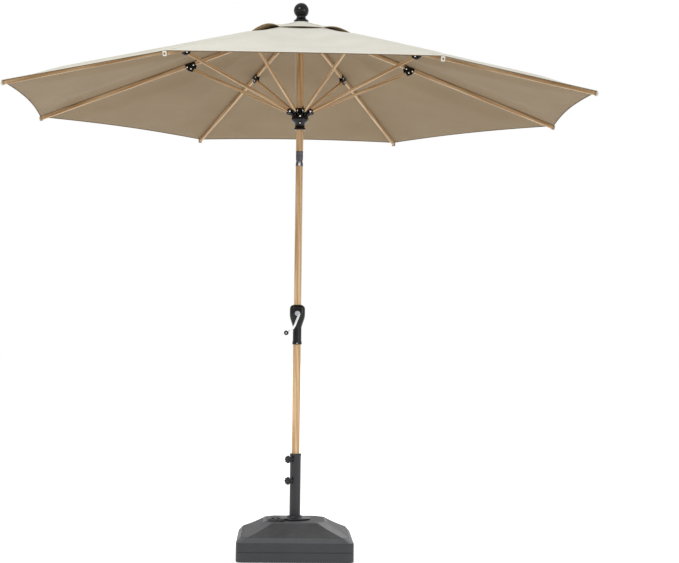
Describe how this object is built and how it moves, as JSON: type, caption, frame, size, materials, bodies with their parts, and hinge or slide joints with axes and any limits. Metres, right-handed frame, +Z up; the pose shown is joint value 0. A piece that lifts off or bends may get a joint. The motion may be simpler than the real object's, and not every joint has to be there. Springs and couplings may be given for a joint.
{
  "type": "patio umbrella with base",
  "caption": "Market umbrella with a flat-panelled vented canopy on a wood-look pole, with crank lift, button tilt and a weighted square base.",
  "frame": {"origin": "on the pole's axis, at the base's underside, on the ground", "axes": "+Z up along the pole; -Y is the front, where the crank faces; +X to the right seen from the front"},
  "size_m": [2.5524, 2.5524, 2.5325],
  "materials": {
    "tank_resin": "blow-moulded black resin, leather-grained slopes",
    "black_powder_steel": "black powder coat",
    "black_plastic": "gloss black moulded nylon",
    "wood_grain_steel": "honey wood-grain finish on steel tube",
    "honey_wood": "clear-lacquered honey wood",
    "bright_steel": "bright plated steel",
    "dark_cast_metal": "dark die-cast alloy",
    "canopy_cloth": "woven polyester, light greige",
    "cord": "braided polyester cord",
    "rubber_seal": "soft black rubber"
  },
  "bodies": {
    "base": {"base_tank": "tank_resin", "base_flange": "tank_resin", "base_tube": "black_powder_steel"},
    "cap_seal": {"cap_seal": "rubber_seal"},
    "fill_cap": {"fill_cap": "tank_resin"},
    "upper_clamp_pad": {"upper_clamp_pad": "bright_steel"},
    "upper_clamp_knob": {"upper_clamp_knob": "black_plastic"},
    "lower_clamp_pad": {"lower_clamp_pad": "bright_steel"},
    "lower_clamp_knob": {"lower_clamp_knob": "black_plastic"},
    "lower_pole": {"pole_lower": "wood_grain_steel"},
    "upper_section": {"pole_middle": "wood_grain_steel", "crank_housing_front": "black_plastic", "crank_housing_rear": "black_plastic", "tilt_yoke": "dark_cast_metal", "tilt_pin": "bright_steel"},
    "tilt_button": {"tilt_button": "black_plastic"},
    "crank": {"crank_handle": "bright_steel", "cord_spool": "bright_steel"},
    "crank_knob": {"crank_knob": "black_plastic"},
    "tilt_head": {"tilt_tongue": "dark_cast_metal", "pole_upper": "wood_grain_steel", "crown_hub": "black_plastic", "crown_hinge_pins": "bright_steel", "finial": "black_plastic", "lift_cord": "cord"},
    "cord_pulley": {"cord_pulley": "bright_steel"},
    "runner": {"runner_hub": "black_plastic", "runner_hinge_pins": "bright_steel"},
    "rib_1": {"rib_1": "honey_wood", "rib_fittings_1": "black_plastic", "canopy_gore_1": "canopy_cloth"},
    "strut_1": {"strut_1": "honey_wood"},
    "rib_2": {"rib_2": "honey_wood", "rib_fittings_2": "black_plastic", "canopy_gore_2": "canopy_cloth"},
    "strut_2": {"strut_2": "honey_wood"},
    "rib_3": {"rib_3": "honey_wood", "rib_fittings_3": "black_plastic", "canopy_gore_3": "canopy_cloth"},
    "strut_3": {"strut_3": "honey_wood"},
    "rib_4": {"rib_4": "honey_wood", "rib_fittings_4": "black_plastic", "canopy_gore_4": "canopy_cloth"},
    "strut_4": {"strut_4": "honey_wood"},
    "rib_5": {"rib_5": "honey_wood", "rib_fittings_5": "black_plastic", "canopy_gore_5": "canopy_cloth"},
    "strut_5": {"strut_5": "honey_wood"},
    "rib_6": {"rib_6": "honey_wood", "rib_fittings_6": "black_plastic", "canopy_gore_6": "canopy_cloth"},
    "strut_6": {"strut_6": "honey_wood"},
    "rib_7": {"rib_7": "honey_wood", "rib_fittings_7": "black_plastic", "canopy_gore_7": "canopy_cloth"},
    "strut_7": {"strut_7": "honey_wood"},
    "rib_8": {"rib_8": "honey_wood", "rib_fittings_8": "black_plastic", "canopy_gore_8": "canopy_cloth"},
    "strut_8": {"strut_8": "honey_wood"}
  },
  "joints": [
    {"name": "pole_lift", "type": "slide", "parent": "base", "child": "lower_pole", "axis": [0, 0, 1], "range_m": [0, 0.3]},
    {"name": "sections_part", "type": "slide", "parent": "lower_pole", "child": "upper_section", "axis": [0, 0, 1], "range_m": [0, 0.09]},
    {"name": "canopy_tilt", "type": "hinge", "parent": "upper_section", "child": "tilt_head", "pos_m": [0, 0, 1.81], "axis": [0, -1, 0], "range_deg": [0, 35]},
    {"name": "tilt_button_press", "type": "slide", "parent": "upper_section", "child": "tilt_button", "axis": [0, 1, 0], "range_m": [0, 0.003], "stiffness_N_per_m": 400, "springref_m": -0.0005},
    {"name": "runner_slide", "type": "slide", "parent": "tilt_head", "child": "runner", "axis": [0, 0, 1], "range_m": [-0.7073, 0], "deforming": ["lift_cord", "canopy_gore_1", "canopy_gore_2", "canopy_gore_3", "canopy_gore_4", "canopy_gore_5", "canopy_gore_6", "canopy_gore_7", "canopy_gore_8"]},
    {"name": "crank_turn", "type": "hinge", "parent": "upper_section", "child": "crank", "pos_m": [0, 0, 1.1], "axis": [0, -1, 0], "range_deg": [-3970, 0]},
    {"name": "crank_knob_spin", "type": "hinge", "parent": "crank", "child": "crank_knob", "pos_m": [-0.05, -0.06, 1.01], "axis": [0, -1, 0], "continuous": true},
    {"name": "pulley_turn", "type": "hinge", "parent": "tilt_head", "child": "cord_pulley", "pos_m": [-0.0165, 0, 2.412], "axis": [0, 1, 0], "range_deg": [-5500, 0]},
    {"name": "rib_fold_1", "type": "hinge", "parent": "tilt_head", "child": "rib_1", "pos_m": [0.02772, 0.01148, 2.42], "axis": [-0.3827, 0.9239, 0], "range_deg": [0, 70.7]},
    {"name": "strut_fold_1", "type": "hinge", "parent": "rib_1", "child": "strut_1", "pos_m": [0.5127, 0.21237, 2.25466], "axis": [-0.3827, 0.9239, 0], "range_deg": [-136.84, 0]},
    {"name": "rib_fold_2", "type": "hinge", "parent": "tilt_head", "child": "rib_2", "pos_m": [0.01148, 0.02772, 2.42], "axis": [-0.9239, 0.3827, 0], "range_deg": [0, 70.7]},
    {"name": "strut_fold_2", "type": "hinge", "parent": "rib_2", "child": "strut_2", "pos_m": [0.21237, 0.5127, 2.25466], "axis": [-0.9239, 0.3827, 0], "range_deg": [-136.84, 0]},
    {"name": "rib_fold_3", "type": "hinge", "parent": "tilt_head", "child": "rib_3", "pos_m": [-0.01148, 0.02772, 2.42], "axis": [-0.9239, -0.3827, 0], "range_deg": [0, 70.7]},
    {"name": "strut_fold_3", "type": "hinge", "parent": "rib_3", "child": "strut_3", "pos_m": [-0.21237, 0.5127, 2.25466], "axis": [-0.9239, -0.3827, 0], "range_deg": [-136.84, 0]},
    {"name": "rib_fold_4", "type": "hinge", "parent": "tilt_head", "child": "rib_4", "pos_m": [-0.02772, 0.01148, 2.42], "axis": [-0.3827, -0.9239, 0], "range_deg": [0, 70.7]},
    {"name": "strut_fold_4", "type": "hinge", "parent": "rib_4", "child": "strut_4", "pos_m": [-0.5127, 0.21237, 2.25466], "axis": [-0.3827, -0.9239, 0], "range_deg": [-136.84, 0]},
    {"name": "rib_fold_5", "type": "hinge", "parent": "tilt_head", "child": "rib_5", "pos_m": [-0.02772, -0.01148, 2.42], "axis": [0.3827, -0.9239, 0], "range_deg": [0, 70.7]},
    {"name": "strut_fold_5", "type": "hinge", "parent": "rib_5", "child": "strut_5", "pos_m": [-0.5127, -0.21237, 2.25466], "axis": [0.3827, -0.9239, 0], "range_deg": [-136.84, 0]},
    {"name": "rib_fold_6", "type": "hinge", "parent": "tilt_head", "child": "rib_6", "pos_m": [-0.01148, -0.02772, 2.42], "axis": [0.9239, -0.3827, 0], "range_deg": [0, 70.7]},
    {"name": "strut_fold_6", "type": "hinge", "parent": "rib_6", "child": "strut_6", "pos_m": [-0.21237, -0.5127, 2.25466], "axis": [0.9239, -0.3827, 0], "range_deg": [-136.84, 0]},
    {"name": "rib_fold_7", "type": "hinge", "parent": "tilt_head", "child": "rib_7", "pos_m": [0.01148, -0.02772, 2.42], "axis": [0.9239, 0.3827, 0], "range_deg": [0, 70.7]},
    {"name": "strut_fold_7", "type": "hinge", "parent": "rib_7", "child": "strut_7", "pos_m": [0.21237, -0.5127, 2.25466], "axis": [0.9239, 0.3827, 0], "range_deg": [-136.84, 0]},
    {"name": "rib_fold_8", "type": "hinge", "parent": "tilt_head", "child": "rib_8", "pos_m": [0.02772, -0.01148, 2.42], "axis": [0.3827, 0.9239, 0], "range_deg": [0, 70.7]},
    {"name": "strut_fold_8", "type": "hinge", "parent": "rib_8", "child": "strut_8", "pos_m": [0.5127, -0.21237, 2.25466], "axis": [0.3827, 0.9239, 0], "range_deg": [-136.84, 0]},
    {"name": "cap_lift", "type": "slide", "parent": "base", "child": "cap_seal", "axis": [0, 0, 1], "range_m": [0, 0.03]},
    {"name": "cap_turn", "type": "hinge", "parent": "cap_seal", "child": "fill_cap", "pos_m": [-0.08627, -0.08627, 0.164], "axis": [0, 0, 1], "range_deg": [0, 901]},
    {"name": "upper_clamp_slide", "type": "slide", "parent": "base", "child": "upper_clamp_pad", "axis": [-0.7071, -0.7071, 0], "range_m": [0, 0.002]},
    {"name": "upper_clamp_turn", "type": "hinge", "parent": "upper_clamp_pad", "child": "upper_clamp_knob", "pos_m": [0, 0, 0.436], "axis": [-0.7071, -0.7071, 0], "range_deg": [0, 481]},
    {"name": "lower_clamp_slide", "type": "slide", "parent": "base", "child": "lower_clamp_pad", "axis": [-0.7071, -0.7071, 0], "range_m": [0, 0.002]},
    {"name": "lower_clamp_turn", "type": "hinge", "parent": "lower_clamp_pad", "child": "lower_clamp_knob", "pos_m": [0, 0, 0.339], "axis": [-0.7071, -0.7071, 0], "range_deg": [0, 481]}
  ],
  "couplings": [
    {"joint": "crank_turn", "follows": "runner_slide", "rad_per_m": 97.561},
    {"joint": "pulley_turn", "follows": "runner_slide", "rad_per_m": 133.33},
    {"joint": "rib_fold_1", "follows": "runner_slide", "rad_per_m": -1.7421},
    {"joint": "strut_fold_1", "follows": "runner_slide", "rad_per_m": 3.3742},
    {"joint": "rib_fold_2", "follows": "runner_slide", "rad_per_m": -1.7421},
    {"joint": "strut_fold_2", "follows": "runner_slide", "rad_per_m": 3.3742},
    {"joint": "rib_fold_3", "follows": "runner_slide", "rad_per_m": -1.7421},
    {"joint": "strut_fold_3", "follows": "runner_slide", "rad_per_m": 3.3742},
    {"joint": "rib_fold_4", "follows": "runner_slide", "rad_per_m": -1.7421},
    {"joint": "strut_fold_4", "follows": "runner_slide", "rad_per_m": 3.3742},
    {"joint": "rib_fold_5", "follows": "runner_slide", "rad_per_m": -1.7421},
    {"joint": "strut_fold_5", "follows": "runner_slide", "rad_per_m": 3.3742},
    {"joint": "rib_fold_6", "follows": "runner_slide", "rad_per_m": -1.7421},
    {"joint": "strut_fold_6", "follows": "runner_slide", "rad_per_m": 3.3742},
    {"joint": "rib_fold_7", "follows": "runner_slide", "rad_per_m": -1.7421},
    {"joint": "strut_fold_7", "follows": "runner_slide", "rad_per_m": 3.3742},
    {"joint": "rib_fold_8", "follows": "runner_slide", "rad_per_m": -1.7421},
    {"joint": "strut_fold_8", "follows": "runner_slide", "rad_per_m": 3.3742},
    {"joint": "cap_turn", "follows": "cap_lift", "rad_per_m": 523.6},
    {"joint": "upper_clamp_turn", "follows": "upper_clamp_slide", "rad_per_m": 4188.8},
    {"joint": "lower_clamp_turn", "follows": "lower_clamp_slide", "rad_per_m": 4188.8}
  ]
}
